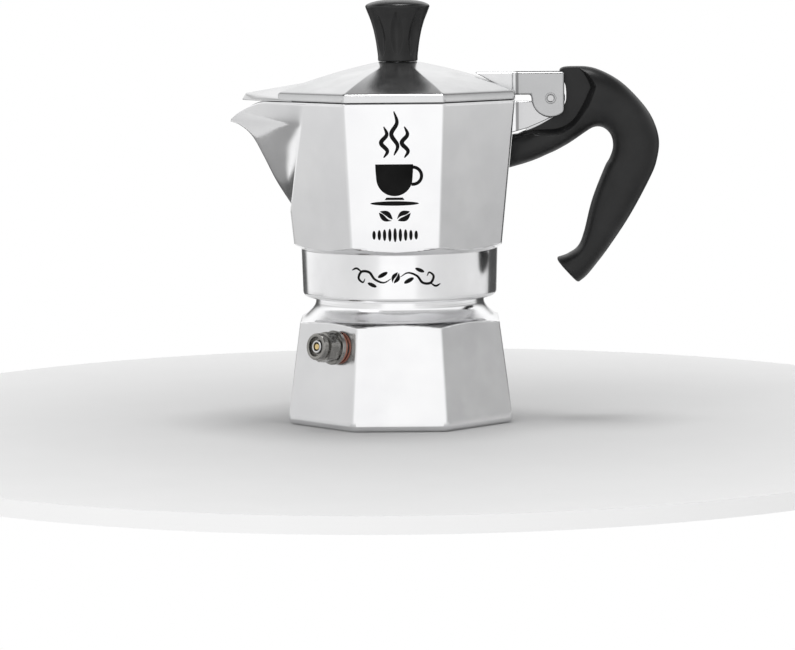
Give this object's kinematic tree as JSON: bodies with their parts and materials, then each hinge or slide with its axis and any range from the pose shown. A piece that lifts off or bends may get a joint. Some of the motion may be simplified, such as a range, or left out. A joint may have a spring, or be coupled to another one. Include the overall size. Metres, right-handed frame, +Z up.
{
  "type": "moka pot",
  "caption": "Small octagonal stovetop coffee pot: a boiler with a safety valve, a funnel and filter, and a spouted jug with a hinged lid, knob and curved handle.",
  "frame": {"origin": "centre of the boiler's flat foot, on the pot's axis", "axes": "+Z up along the pot's axis, +X towards the handle, -X towards the spout"},
  "size_m": [0.1079, 0.0584, 0.1049],
  "materials": {
    "cast_aluminium": "polished casting",
    "spun_aluminium": "satin",
    "handle_plastic": "fine matt grain",
    "knob_plastic": "satin",
    "steel": "turned",
    "valve_metal": "turned, dulled",
    "brass": "turned",
    "seal_rubber": "matt"
  },
  "bodies": {
    "boiler": {"boiler": "cast_aluminium", "valve_body": "valve_metal", "valve_washer": "seal_rubber", "valve_retainer": "steel", "valve_spring": "steel"},
    "valve_plunger": {"valve_plunger": "brass"},
    "funnel": {"funnel": "spun_aluminium", "funnel_sieve": "spun_aluminium"},
    "gasket": {"gasket": "seal_rubber"},
    "filter_plate": {"filter_plate": "spun_aluminium"},
    "jug": {"jug": "cast_aluminium", "column": "spun_aluminium", "column_cap": "spun_aluminium", "handle": "handle_plastic", "handle_screw": "steel", "hinge_pin": "steel"},
    "lid": {"lid": "cast_aluminium", "knob": "knob_plastic", "knob_insert": "brass", "knob_washer": "steel", "knob_screw": "steel"}
  },
  "joints": [
    {"name": "valve_travel", "type": "slide", "parent": "boiler", "child": "valve_plunger", "axis": [-0.6806, -0.7209, 0.1308], "range_m": [0, 0.0008], "stiffness_N_per_m": 600, "springref_m": -0.004, "deforming": ["valve_spring"]},
    {"name": "funnel_lift", "type": "slide", "parent": "boiler", "child": "funnel", "axis": [0, 0, 1], "range_m": [0, 0.036]},
    {"name": "jug_rise", "type": "slide", "parent": "funnel", "child": "gasket", "axis": [0, 0, 1], "range_m": [0, 0.0076]},
    {"name": "gasket_release", "type": "slide", "parent": "gasket", "child": "filter_plate", "axis": [0, 0, 1], "range_m": [0, 0.013]},
    {"name": "jug_unscrew", "type": "hinge", "parent": "filter_plate", "child": "jug", "pos_m": [0, 0, 0.0431], "axis": [0, 0, 1], "range_deg": [0, 1080]},
    {"name": "lid_hinge", "type": "hinge", "parent": "jug", "child": "lid", "pos_m": [0.038, 0, 0.0802], "axis": [0, 1, 0], "range_deg": [0, 95]}
  ],
  "couplings": [
    {"joint": "jug_rise", "follows": "jug_unscrew", "m_per_rad": 0.00039789}
  ]
}
